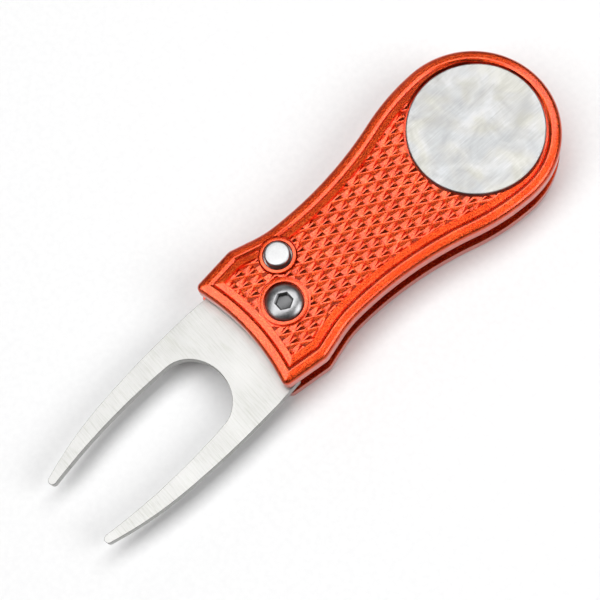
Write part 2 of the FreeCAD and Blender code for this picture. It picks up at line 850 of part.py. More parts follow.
def cross_corners(x, y):
    """The twelve corners of a cross recess."""
    arm = "cross_length / 2"
    half = "cross_width / 2"
    quarter = [(half, arm), (half, half), (arm, half)]
    corners = []
    for sign_x, sign_y in (("+", "+"), ("+", "-"), ("-", "-"), ("-", "+")):
        turn = quarter if sign_x == sign_y else quarter[::-1]
        corners += [(f"{x} {sign_x} {a}", f"{y} {sign_y} {b}") for a, b in turn]
    return [(on_sheet(a), on_sheet(b)) for a, b in corners]


# ---------------------------------------------------------------- build

def build():
    fork_low = "(handle_height - fork_thickness) / 2"
    fork_high = "(handle_height + fork_thickness) / 2"
    front_scale()
    back_scale()
    fork()
    spring_pin()
    pivot_screw()
    pivot_barrel()
    pivot_washer("back_washer", "scale_thickness", f"{fork_low} - washer_gap")
    pivot_washer("front_washer", f"{fork_high} + washer_gap", GAP_TOP)
    torsion_spring()
    lock_button()
    lock_plunger()
    button_spring()
    stop_pin("open_stop_pin", *STOPS[0])
    stop_pin("closed_stop_pin", *STOPS[1])
    ball_marker()
    marker_magnet()
    head_spacer()
    head_screws()


def check():
    """Stop if any feature failed or any shape isn't a sound solid."""
    for item in doc.Objects:
        if "Invalid" in item.State or "Error" in item.State:
            raise RuntimeError(item.Name + " failed")
    for part in parts:
        if part.Shape.isNull() or not part.Shape.isValid() or not part.Shape.Solids:
            raise RuntimeError(part.Label + " has no sound shape")


build()
doc.recompute()
check()
os.makedirs("parts", exist_ok=True)
for part in parts:
    part.Shape.exportStep(os.path.join("parts", part.Label + ".step"))
    print(f"{part.Label:18s} {part.Shape.Volume:10.2f} mm3, {len(part.Shape.Solids)} solid(s)")
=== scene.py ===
import math

import bmesh
import bpy
import numpy as np
from mathutils import Matrix, Vector


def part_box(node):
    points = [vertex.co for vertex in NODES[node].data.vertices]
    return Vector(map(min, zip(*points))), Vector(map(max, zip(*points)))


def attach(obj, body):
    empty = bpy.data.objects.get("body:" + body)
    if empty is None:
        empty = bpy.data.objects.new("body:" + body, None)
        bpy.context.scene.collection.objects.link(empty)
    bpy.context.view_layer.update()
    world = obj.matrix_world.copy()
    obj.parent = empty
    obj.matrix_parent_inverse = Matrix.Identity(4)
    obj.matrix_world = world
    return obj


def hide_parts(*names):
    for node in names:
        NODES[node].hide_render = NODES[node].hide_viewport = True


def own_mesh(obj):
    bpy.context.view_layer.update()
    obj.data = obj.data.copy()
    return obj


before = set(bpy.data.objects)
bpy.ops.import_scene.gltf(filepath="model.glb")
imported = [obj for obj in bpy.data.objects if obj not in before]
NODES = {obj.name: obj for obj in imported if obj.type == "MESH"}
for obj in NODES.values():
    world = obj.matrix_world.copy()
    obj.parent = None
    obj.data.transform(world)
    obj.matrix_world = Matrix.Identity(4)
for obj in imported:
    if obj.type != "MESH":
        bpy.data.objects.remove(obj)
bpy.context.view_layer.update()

# Everything below is worked out in millimetres and turned into metres when a mesh is made.
MM = 0.001


def node_box(name):
    """Lowest and highest corner of a CAD node, in millimetres."""
    low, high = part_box(name)
    return np.array(low) / MM, np.array(high) / MM


def centre_of(name):
    low, high = node_box(name)
    return (low + high) / 2


FRONT_LOW, FRONT_HIGH = node_box("front_scale")
TOP = float(FRONT_HIGH[2])
GAP_TOP = float(FRONT_LOW[2])
HEAD_R = float(FRONT_HIGH[0])
HEAD = np.array([0.0, float(FRONT_HIGH[1]) - HEAD_R])
PIVOT = centre_of("pivot_screw")[:2]
BUTTON = centre_of("lock_button")[:2]
MARKER = centre_of("ball_marker")[:2]


# ---------------------------------------------------------------- outline of the handle

WAIST_HALF, WAIST_Y, WAIST_R = 11.05, 7.0, 73.0
BLEND_Y, BLEND_R = 3.0, 20.0
SHOULDER, SHOULDER_R = np.array([13.2, -6.0]), 2.5
CORNER, CORNER_R = np.array([12.2, -15.0]), 1.1
FOOT_Y = -13.15


def unit(v):
    return v / np.linalg.norm(v)


def left_of(v):
    return np.array([-v[1], v[0]])


def angle_of(v):
    return math.atan2(v[1], v[0])


def arc(centre, radius, start, end, count):
    """count points on an arc, without its last one."""
    turn = np.linspace(start, end, count + 1)[:-1]
    return np.stack([centre[0] + radius * np.cos(turn), centre[1] + radius * np.sin(turn)], 1)


def line(start, end, count):
    """count points on a straight run, without its last one."""
    share = np.linspace(0, 1, count + 1)[:-1, None]
    return start + (end - start) * share


def fillet_centre(before, corner, after, radius):
    back, ahead = unit(before - corner), unit(after - corner)
    half = math.acos(float(back @ ahead)) / 2
    reach = radius / math.tan(half)
    centre = corner + unit(back + ahead) * radius / math.sin(half)
    return corner + back * reach, centre, corner + ahead * reach


def tangent_touch(outside, centre, radius):
    """Where a line from an outside point touches a circle, on its -X side."""
    gap = outside - centre
    spread = math.acos(radius / np.linalg.norm(gap))
    touches = []
    for side in (spread, -spread):
        turn = angle_of(gap) + side
        touches.append(centre + radius * np.array([math.cos(turn), math.sin(turn)]))
    return min(touches, key=lambda touch: touch[0])


class Handle:
    """The handle's outline as tangent lines and arcs, which can be moved inwards exactly."""

    waist = np.array([WAIST_HALF + WAIST_R, WAIST_Y])
    run = waist[0] - HEAD_R
    rise = HEAD[1] - WAIST_Y
    flank_r = (run ** 2 + rise ** 2 - WAIST_R ** 2) / (2 * (WAIST_R - run))
    flank = np.array([HEAD_R - flank_r, HEAD[1]])
    flank_turn = angle_of(waist - flank)

    blend_drop = BLEND_Y - WAIST_Y
    blend_start = np.array([waist[0] - math.sqrt(WAIST_R ** 2 - blend_drop ** 2), BLEND_Y])
    blend = blend_start + unit(waist - blend_start) * BLEND_R
    blend_end = tangent_touch(SHOULDER, blend, BLEND_R)

    foot_sag = FOOT_Y - CORNER[1]
    rough_r = (CORNER[0] ** 2 + foot_sag ** 2) / (2 * foot_sag)
    along_foot = left_of(CORNER - np.array([0, FOOT_Y - rough_r]))
    corner_up, corner_mid, corner_foot = fillet_centre(SHOULDER, CORNER, CORNER + along_foot, CORNER_R)
    sag = FOOT_Y - corner_foot[1]
    foot_r = (corner_foot[0] ** 2 + sag ** 2) / (2 * sag)
    foot = np.array([0.0, FOOT_Y - foot_r])
    shoulder_high, shoulder_mid, shoulder_low = fillet_centre(blend_end, SHOULDER, CORNER, SHOULDER_R)
    lower_way = unit(SHOULDER - CORNER)
    upper_way = unit(blend_end - SHOULDER)


def miter_at_corner(inset):
    """Where the foot arc meets the lower side line, both moved inwards."""
    start = CORNER + left_of(Handle.lower_way) * inset - Handle.foot
    half_b = float(start @ Handle.lower_way)
    c = float(start @ start) - (Handle.foot_r + inset) ** 2
    along = -half_b + math.sqrt(half_b ** 2 - c)
    return Handle.foot + start + Handle.lower_way * along


def miter_at_shoulder(inset):
    """Where the two side lines that meet at the shoulder cross, both moved inwards."""
    bisector = unit(left_of(Handle.lower_way) + left_of(Handle.upper_way))
    return SHOULDER + bisector * inset / float(bisector @ left_of(Handle.lower_way))


def ring(inset):
    """The outline moved inwards, anticlockwise from the middle of the foot, always with as many points."""
    low_in = left_of(Handle.lower_way) * inset
    high_in = left_of(Handle.upper_way) * inset
    if inset < CORNER_R:
        turn = [angle_of(p - Handle.corner_mid) for p in (Handle.corner_foot, Handle.corner_up)]
        corner = arc(Handle.corner_mid, CORNER_R - inset, *turn, 8)
        corner_end = Handle.corner_up + low_in
    else:
        corner_end = miter_at_corner(inset)
        corner = np.repeat(corner_end[None], 8, 0)
    if inset < SHOULDER_R:
        turn = [angle_of(p - Handle.shoulder_mid) for p in (Handle.shoulder_low, Handle.shoulder_high)]
        shoulder = arc(Handle.shoulder_mid, SHOULDER_R - inset, *turn, 10)
        shoulder_end = Handle.shoulder_high + high_in
    else:
        shoulder_end = miter_at_shoulder(inset)
        shoulder = np.repeat(shoulder_end[None], 10, 0)
    foot_turn = [math.pi / 2, angle_of(corner[0] - Handle.foot)]
    blend_turn = [angle_of(p - Handle.blend) % (2 * math.pi) for p in (Handle.blend_end, Handle.blend_start)]
    waist_turn = [
        angle_of(p - Handle.waist) % (2 * math.pi)
        for p in (Handle.blend_start, Handle.flank)
    ]
    half = np.concatenate([
        arc(Handle.foot, Handle.foot_r + inset, *foot_turn, 30),
        corner,
        line(corner_end, shoulder[0], 14),
        shoulder,
        line(shoulder_end, Handle.blend_end + high_in, 4),
        arc(Handle.blend, BLEND_R + inset, *blend_turn, 14),
        arc(Handle.waist, WAIST_R + inset, *waist_turn, 30),
        arc(Handle.flank, Handle.flank_r - inset, Handle.flank_turn, 0, 44),
        arc(HEAD, HEAD_R - inset, 0, math.pi / 2, 46),
    ])
    crown = np.array([[0.0, HEAD[1] + HEAD_R - inset]])
    mirrored = half[:0:-1] * [-1, 1]
    return np.concatenate([half, crown, mirrored])


# ---------------------------------------------------------------- mesh helpers

def mesh_object(name, verts, faces):
    """An object from millimetre vertices, linked to the scene."""
    mesh = bpy.data.meshes.new(name)
    mesh.from_pydata([tuple(float(c) * MM for c in v) for v in verts], [], faces)
    mesh.validate()
    obj = bpy.data.objects.new(name, mesh)
    bpy.context.scene.collection.objects.link(obj)
    return obj


def clean(obj, gap=0.0004):
    """Merge doubled points and make the faces point outwards."""
    bm = bmesh.new()
    bm.from_mesh(obj.data)
    bmesh.ops.remove_doubles(bm, verts=bm.verts, dist=gap * MM)
    bmesh.ops.dissolve_degenerate(bm, edges=bm.edges, dist=gap * MM)
    bmesh.ops.recalc_face_normals(bm, faces=bm.faces)
    bm.to_mesh(obj.data)
    bm.free()
    return obj


def loft(name, rings):
    """A closed solid through rings of points at heights: [(points, z), ...] from bottom to top."""
    count = len(rings[0][0])
    verts = [(x, y, z) for points, z in rings for x, y in points]
    faces = []
    for level in range(len(rings) - 1):
        low, high = level * count, (level + 1) * count
        for i in range(count):
            j = (i + 1) % count
            faces.append((low + i, low + j, high + j, high + i))
    faces.append(tuple(range(count))[::-1])
    faces.append(tuple(range((len(rings) - 1) * count, len(rings) * count)))
    return clean(mesh_object(name, verts, faces))


def lathe(name, profile, centre=(0, 0), steps=96):
    """A solid of revolution about a vertical line, from a closed run of (radius, z)."""
    verts, faces, rows = [], [], []
    for radius, z in profile:
        if radius < 1e-6:
            rows.append([len(verts)] * steps)
            verts.append((centre[0], centre[1], z))
            continue
        rows.append(list(range(len(verts), len(verts) + steps)))
        for i in range(steps):
            turn = 2 * math.pi * i / steps
            verts.append((centre[0] + radius * math.cos(turn), centre[1] + radius * math.sin(turn), z))
    for low, high in zip(rows, rows[1:] + rows[:1]):
        if low[0] == low[1] and high[0] == high[1]:
            continue
        for i in range(steps):
            j = (i + 1) % steps
            face = []
            for v in (low[i], low[j], high[j], high[i]):
                if v not in face:
                    face.append(v)
            faces.append(tuple(face))
    return clean(mesh_object(name, verts, faces))


def join(name, objects):
    """Several meshes as one object."""
    bm = bmesh.new()
    for obj in objects:
        bm.from_mesh(obj.data)
        drop(obj)
    mesh = bpy.data.meshes.new(name)
    bm.to_mesh(mesh)
    bm.free()
    obj = bpy.data.objects.new(name, mesh)
    bpy.context.scene.collection.objects.link(obj)
    return obj


def drop(obj):
    mesh = obj.data
    bpy.data.objects.remove(obj)
    if mesh.users == 0:
        bpy.data.meshes.remove(mesh)


def apply_modifiers(obj):
    bpy.context.view_layer.update()
    graph = bpy.context.evaluated_depsgraph_get()
    mesh = bpy.data.meshes.new_from_object(obj.evaluated_get(graph))
    obj.modifiers.clear()
    obj.data = mesh
    return obj


def combine(obj, other, how):
    """Boolean of two solids; the second one is used up."""
    modifier = obj.modifiers.new("cut", "BOOLEAN")
    modifier.operation = how
    modifier.solver = "EXACT"
    modifier.use_self = False
    modifier.object = other
    apply_modifiers(obj)
    drop(other)
    return obj


def smooth(obj, degrees=32):
    obj.data.shade_smooth()
    obj.data.set_sharp_from_angle(angle=math.radians(degrees))
    return obj


# ---------------------------------------------------------------- handle scales

# depths below the top
EDGE_ROUND = 1.0
FIELD_DROP = 0.60
TIP_DROP = 0.14
RING_DROP = 0.12
MOAT_SINK = 0.30
# how far a joined piece is sunk into what holds it
BITE = 0.06
FIELD = TOP - FIELD_DROP

# the face's section, outside to inside: (inset from the outline, depth below the top)
FACE_SECTION = [
    (1.26, 0.235),
    (1.52, 0.195),
    (1.60, 0.176),
    (1.70, 0.172),
    (1.80, 0.171),
    (1.84, 0.178),
    (1.89, 0.20),
    (2.32, 0.41),
    (2.36, 0.47),
    (2.41, 0.43),
    (2.45, 0.20),
    (2.49, 0.176),
    (2.70, 0.170),
    (2.76, 0.155),
    (3.60, 0.005),
    (3.66, 0.10),
    (3.74, FIELD_DROP),
]
FIELD_CLIP = 3.66


def edge_round_section():
    """The outer edge: a quarter turn that stops at the face's slope."""
    out = []
    for i in range(8):
        turn = math.radians(82 * i / 7)
        out.append((EDGE_ROUND * (1 - math.cos(turn)), 0.30 + EDGE_ROUND * (1 - math.sin(turn))))
    return out


def scale_body(name):
    """One handle half lying face up, its gap face at GAP_TOP and its face at TOP."""
    section = [(0.12, TOP - GAP_TOP), (0.0, TOP - GAP_TOP - 0.12)] + edge_round_section() + FACE_SECTION
    return loft(name, [(ring(inset), TOP - depth) for inset, depth in section])


# cross-cut pattern: two families of flat-bottomed grooves over the sunk field
GROOVE_PITCH = 2.0
GROOVE_HALF = 0.14
GROOVE_TURNS = (23.3, -30.0)
LATTICE_START = np.array([-0.78, 13.0])

# one diamond in shares of its half diagonals: foot, and top with its hips cut off above and below;
# one corner of the top dips
DIAMOND_FOOT = [(1, 0), (0.07, 0.93), (-0.05, 0.95), (-1, 0), (-0.09, -0.91), (0.09, -0.91)]
DIAMOND_TOP = [(0.26, -0.09), (0.13, 0.04), (-0.06, 0.07), (-0.24, -0.10), (-0.14, -0.27), (0.17, -0.27)]
DIAMOND_DIP = 0.14
DIPPED_CORNER = 2


def knurl_blocks(name):
    """The raised diamonds between the grooves, sunk a little into the floor."""
    normals = np.array([[math.cos(math.radians(t)), math.sin(math.radians(t))] for t in GROOVE_TURNS])
    back = np.linalg.inv(normals)
    reach = GROOVE_PITCH / 2 - GROOVE_HALF
    wide, tall = back @ (reach, reach), back @ (reach, -reach)
    tip = TOP - TIP_DROP
    count = len(DIAMOND_FOOT)
    verts, faces = [], []
    for i in range(-30, 30):
        for j in range(-30, 30):
            middle = LATTICE_START + back @ (np.array([i + 0.5, j + 0.5]) * GROOVE_PITCH)
            if abs(middle[0]) > 15 or not -16 < middle[1] < 57:
                continue
            base = len(verts)
            for shape, z in ((DIAMOND_FOOT, FIELD - BITE), (DIAMOND_FOOT, FIELD), (DIAMOND_TOP, tip)):
                for k, (a, b) in enumerate(shape):
                    spot = middle + wide * a + tall * b
                    dip = DIAMOND_DIP if z == tip and k == DIPPED_CORNER else 0
                    verts.append((spot[0], spot[1], z - dip))
            faces.append(tuple(range(base + count - 1, base - 1, -1)))
            faces.append(tuple(range(base + 2 * count, base + 3 * count)))
            for level in (0, count):
                for k in range(count):
                    lower, upper = base + level, base + level + count
                    m = (k + 1) % count
                    faces.append((lower + k, lower + m, upper + m, upper + k))
    return clean(mesh_object(name, verts, faces))


def post(name, centre, radius, low, high, steps=96):
    return lathe(name, [(0, low), (radius, low), (radius, high), (0, high)], centre, steps)


def collar(centre, inner, outer):
    """A raised ring with softened edges."""
    low, top, soft = FIELD - MOAT_SINK - BITE, TOP - RING_DROP, 0.1
    return lathe("collar", [
        (inner, low),
        (outer, low),
        (outer, top - soft),
        (outer - 0.3 * soft, top - 0.3 * soft),
        (outer - soft, top),
        (inner + soft, top),
        (inner + 0.3 * soft, top - 0.3 * soft),
        (inner, top - soft),
    ], centre)


def moat(centre, radius, low, steps=96):
    return post("moat", centre, radius, low, TOP + 1, steps)


def seat(centre, radius, rim, depth, steps=96):
    """Cutter for a round seat that widens to its rim at the face."""
    low, lip = TOP - depth, TOP - 0.24
    section = [(0, low), (radius, low), (radius, lip), (rim, TOP), (rim, TOP + 1), (0, TOP + 1)]
    return lathe("seat", section, centre, steps)


def drilled(centre, radius, high, steps=32):
    """Cutter for a hole from the gap face up to a height."""
    return post("drilled", centre, radius, GAP_TOP - 1, high, steps)


def stop_holes():
    pins = ("open_stop_pin", "closed_stop_pin")
    return [drilled(centre_of(pin)[:2], STOP_R, GAP_TOP + 1.5) for pin in pins]


def add_knurl(body, moats):
    """The cross-cut pattern over the field, cleared by the moats' cutters."""
    knurl = knurl_blocks("knurl")
    clip = loft("clip", [(ring(FIELD_CLIP), FIELD - 0.5), (ring(FIELD_CLIP), TOP + 1)])
    combine(knurl, clip, "INTERSECT")
    for cutter in moats:
        combine(knurl, cutter, "DIFFERENCE")
    combine(body, knurl, "UNION")


HEAD_SCREWS = [
    HEAD + 11.5 * np.array([math.cos(math.radians(t)), math.sin(math.radians(t))])
    for t in (58.0, 125.0, 190.0)
]
STOP_R = 1.0
TAP_R = 1.05


def front_scale():
    """The half with the screw's seat, the button's hole and the marker's recess."""
    body = scale_body("handle_front")
    moats = ((PIVOT, 4.65), (BUTTON, 3.6))
    for spot, radius in moats:
        combine(body, moat(spot, radius, FIELD - MOAT_SINK), "DIFFERENCE")
    add_knurl(body, [moat(spot, radius, FIELD - 1) for spot, radius in moats])
    combine(body, collar(PIVOT, 3.0, 4.3), "UNION")
    combine(body, collar(BUTTON, 2.0, 3.32), "UNION")

    hole = [
        (0, GAP_TOP - 1),
        (3.0, GAP_TOP - 1),
        (3.0, GAP_TOP + 1.4),
        (2.6, GAP_TOP + 1.4),
        (2.6, TOP - 0.30),
        (2.86, TOP),
        (2.86, TOP + 1),
        (0, TOP + 1),
    ]
    recess = [
        (0, TOP - 2.0),
        (12.9, TOP - 2.0),
        (12.9, TOP - 0.32),
        (12.97, TOP - 0.2),
        (13.25, TOP + 0.1),
        (13.25, TOP + 1),
        (0, TOP + 1),
    ]
    cuts = [seat(PIVOT, 3.6, 3.78, 1.7), lathe("hole", hole, BUTTON), lathe("recess", recess, MARKER, 192)]
    combine(body, join("cuts", cuts), "DIFFERENCE")
    cuts = [drilled(PIVOT, 2.1, TOP - 1, 96), post("magnet", MARKER, 4.1, TOP - 3.2, TOP - 1)]
    cuts += [drilled(spot, TAP_R, GAP_TOP + 1.2) for spot in HEAD_SCREWS]
    combine(body, join("cuts", cuts + stop_holes()), "DIFFERENCE")
    return smooth(clean(body))


def back_scale():
    """The same half with seats for barrel and head screws, turned over so that its face looks down."""
    body = scale_body("handle_back")
    combine(body, moat(PIVOT, 4.75, FIELD), "DIFFERENCE")
    moats = [moat(PIVOT, 4.75, FIELD - 1)] + [moat(spot, 2.7, FIELD - 1, 48) for spot in HEAD_SCREWS]
    add_knurl(body, [join("moats", moats)])
    combine(body, collar(PIVOT, 3.9, 4.45), "UNION")
    for spot in HEAD_SCREWS:
        combine(body, collar(spot, 1.9, 2.45), "UNION")

    cuts = [seat(PIVOT, 4.0, 4.2, 1.45)] + [seat(spot, 2.0, 2.2, 1.3, 48) for spot in HEAD_SCREWS]
    combine(body, join("cuts", cuts), "DIFFERENCE")
    cuts = [drilled(PIVOT, 3.04, TOP - 1, 96), drilled(BUTTON, 3.1, GAP_TOP + 2.2, 96)]
    cuts += [drilled(spot, TAP_R, TOP - 1) for spot in HEAD_SCREWS]
    combine(body, join("cuts", cuts + stop_holes()), "DIFFERENCE")

    # room for the opening spring's coil and its fixed leg
    low, high, inner, outer = GAP_TOP - 1, GAP_TOP + 1.4, 4.1, 5.4
    room = lathe("coil_room", [(inner, low), (outer, low), (outer, high), (inner, high)], PIVOT)
    combine(body, room, "DIFFERENCE")
    half, near, far = 0.55, 4.75, 7.25
    slot = PIVOT + np.array([(-half, -far), (half, -far), (half, -near), (-half, -near)])
    combine(body, loft("slot", [(slot, low), (slot, high)]), "DIFFERENCE")

    for vert in body.data.vertices:
        vert.co.z = TOP * MM - vert.co.z
    body.data.flip_normals()
    return smooth(clean(body))


# ---------------------------------------------------------------- fork

FORK_YAW = math.radians(3.44)
FORK_SWING = math.radians(176.56)
FORK_SHIFT = np.array([-0.36, 0.0])


def arc_through(start, middle, end, count):
    """Points on the arc through three points, without the last one."""
    start, middle, end = (np.array(p, float) for p in (start, middle, end))
    m = np.array([middle - start, end - start]) * 2
    rhs = np.array([middle @ middle - start @ start, end @ end - start @ start])
    centre = np.linalg.solve(m, rhs)
    turns = [angle_of(p - centre) for p in (start, middle, end)]
    total = (turns[2] - turns[0]) % (2 * math.pi)
    if (turns[1] - turns[0]) % (2 * math.pi) > total:
        total -= 2 * math.pi
    return arc(centre, np.linalg.norm(start - centre), turns[0], turns[0] + total, count)


def fork_outline():
    """The fork about its own pivot, tines towards -Y, anticlockwise."""
    tang = 6.4
    neck = np.array([0.6 * tang, -0.8 * tang])
    shelf, root = np.array([neck[0] + 1.0, -7.6]), np.array([11.35, -7.6])
    cheek, side = np.array([11.72, -13.5]), np.array([11.76, -19.5])
    outer, inner = (8.1, -50.33), (6.5, -50.33)
    knee = (11.12, -34.5)
    tip = ((outer[0] + inner[0]) / 2, outer[1] - (outer[0] - inner[0]) / 2)
    slot = (7.45, -22.9)
    right = np.concatenate([
        line(shelf, root, 3),
        line(root, cheek, 6),
        line(cheek, side, 6),
        arc_through(side, (11.6, -27.0), knee, 22),
        arc_through(knee, (9.95, -43.0), outer, 24),
        arc_through(outer, tip, inner, 14),
        arc_through(inner, (7.8, -32.0), slot, 36),
    ])
    turn = np.linspace(0, math.pi, 61)
    crown = np.stack([slot[0] * np.cos(turn), slot[1] + 6.5 * np.sin(turn)], 1)
    plate = np.concatenate([right, crown, right[::-1] * [-1, 1]]) + FORK_SHIFT
    over = arc_through(neck * [-1, 1], (0, tang), neck, 60)
    return np.concatenate([plate, over, neck[None]])[::-1]


def shrink(points, distance):
    """A closed anticlockwise outline moved inwards by a small distance."""
    before = points - np.roll(points, 1, 0)
    after = np.roll(points, -1, 0) - points
    before /= np.linalg.norm(before, axis=1)[:, None]
    after /= np.linalg.norm(after, axis=1)[:, None]
    normal = np.stack([-(before + after)[:, 1], (before + after)[:, 0]], 1)
    normal /= np.linalg.norm(normal, axis=1)[:, None]
    lean = np.clip((normal * np.stack([-before[:, 1], before[:, 0]], 1)).sum(1), 0.5, 1)
    return points + normal * (distance / lean)[:, None]


def to_world(points):
    c, s = math.cos(FORK_YAW), math.sin(FORK_YAW)
    return points @ np.array([[c, s], [-s, c]]) + PIVOT


def fork():
    low, high = node_box("fork")
    outline = fork_outline()
    section = [(0.07, 0), (0, 0.07)]
    rings = [(to_world(shrink(outline, inset)), low[2] + rise) for inset, rise in section]
    rings += [(to_world(shrink(outline, inset)), high[2] - rise) for inset, rise in section[::-1]]
    body = loft("fork_plate", rings)
    reach = np.linalg.norm(BUTTON - PIVOT)
    bearing = angle_of(BUTTON - PIVOT)
    cuts = [post("bore", PIVOT, 3.04, low[2] - 1, high[2] + 1)]
    for turn in (bearing, bearing - FORK_SWING):
        spot = PIVOT + reach * np.array([math.cos(turn), math.sin(turn)])
        cuts.append(post("notch", spot, 2.95, low[2] - 1, high[2] + 1))
    for cut in cuts:
        combine(body, cut, "DIFFERENCE")
    return smooth(clean(body), 16)


# ---------------------------------------------------------------- turned steel pieces

def hexagon(size):
    """Corners of a hexagon about the pivot, at a distance from it."""
    turns = [math.radians(60 * i) for i in range(6)]
    return np.array([PIVOT + size * np.array([math.cos(t), math.sin(t)]) for t in turns])


def screw():
    """Button-head screw: a domed head, its hexagon socket and the shank below."""
    low, high = node_box("pivot_screw")
    bottom, crown, under = float(low[2]), float(high[2]), TOP - 1.7
    radius, flat, rim, soft = 3.42, 1.75, TOP - 0.55, 0.12
    # the dome is an arc between two slopes
    steep, shallow, steps = math.radians(62), math.radians(8), 14
    dome = []
    for i in range(steps + 1):
        lean = steep + (shallow - steep) * i / steps
        out = (math.sin(lean) - math.sin(shallow)) / (math.sin(steep) - math.sin(shallow))
        rise = (math.cos(lean) - math.cos(steep)) / (math.cos(shallow) - math.cos(steep))
        dome.append((flat + (radius - flat) * out, rim + (crown - rim) * rise))
    shank = [(0, bottom), (1.6, bottom), (1.6, GAP_TOP), (1.95, GAP_TOP), (1.95, under)]
    edge = [(radius - soft, under), (radius, under + soft), (radius, rim - soft)]
    body = lathe("screw_head", shank + edge + dome + [(0, crown)], PIVOT, 128)

    across, chamfer = 2.6 / math.sqrt(3), 0.30
    socket = loft("socket", [
        (hexagon(across), crown - 1.2),
        (hexagon(across), crown - 0.2),
        (hexagon(across + chamfer), crown + 0.02),
        (hexagon(across + chamfer), crown + 1),
    ])
    combine(body, socket, "DIFFERENCE")
    point = [(0, crown - 1.5), (1.25, crown - 1.15), (1.25, crown - 1.0), (0, crown - 1.0)]
    combine(body, lathe("drill_point", point, PIVOT, 64), "DIFFERENCE")
    return smooth(clean(body), 30)


def rounded(radius, top, soft, steps):
    """Section of a rounded upper edge, from the side to the top, without its first point."""
    turns = [math.pi / 2 * i / steps for i in range(1, steps + 1)]
    return [(radius - soft * (1 - math.cos(t)), top - soft * (1 - math.sin(t))) for t in turns]


def button():
    """The lock button's cap over its wider skirt, hollow below for the plunger's stem."""
    low, high = node_box("lock_button")
    bottom, crown, ceiling = float(low[2]), float(high[2]), GAP_TOP + 1.35
    radius, skirt, bore, bore_top, soft = 2.3, 2.85, 1.92, 9.22, 0.34
    section = [(bore, bottom), (skirt, bottom), (skirt, ceiling), (radius, ceiling), (radius, crown - soft)]
    section += rounded(radius, crown, soft, 6)
    section += [(1.2, crown), (0, crown - 0.02), (0, bore_top), (bore, bore_top)]
    return smooth(lathe("button_cap", section, BUTTON), 30)


def marker():
    """A plain disc with both edges rounded."""
    low, high = node_box("ball_marker")
    radius, soft = float(high[0] - low[0]) / 2, 0.28
    bottom, top = float(low[2]), float(high[2])
    inner = radius - soft - 0.04
    upper = [(radius, top - soft)] + rounded(radius, top, soft, 5)
    lower = [(r, bottom + top - z) for r, z in upper[::-1]]
    section = [(0, bottom), (inner, bottom)] + lower + upper + [(inner, top), (0, top)]
    return smooth(lathe("marker_disc", section, MARKER, 192), 30)


# ---------------------------------------------------------------- return spring


def return_spring():
    """Round-wire coil under the button, between the ends of its CAD node."""
    low, high = node_box("button_spring")
    wire, pitch, radius = 0.35, 0.8, 1.0
    rise = high[2] - low[2] - wire
    steps, sides = int(rise / pitch * 36), 12
    verts, faces = [], []
    for i in range(steps + 1):
        turn = 2 * math.pi * rise / pitch * i / steps
        out = np.array([math.cos(turn), math.sin(turn), 0.0])
        middle = np.array([*BUTTON, low[2] + wire / 2 + rise * i / steps]) + out * radius
        for k in range(sides):
            lean = 2 * math.pi * k / sides
            verts.append(middle + wire / 2 * (out * math.cos(lean) + np.array([0, 0, math.sin(lean)])))
        for k in range(sides if i < steps else 0):
            here, beside = i * sides + k, i * sides + (k + 1) % sides
            faces.append((here, beside, beside + sides, here + sides))
    faces += [tuple(range(sides)), tuple(range(steps * sides, (steps + 1) * sides))[::-1]]
    return smooth(clean(mesh_object("spring_coil", verts, faces)), 40)


# ---------------------------------------------------------------- materials

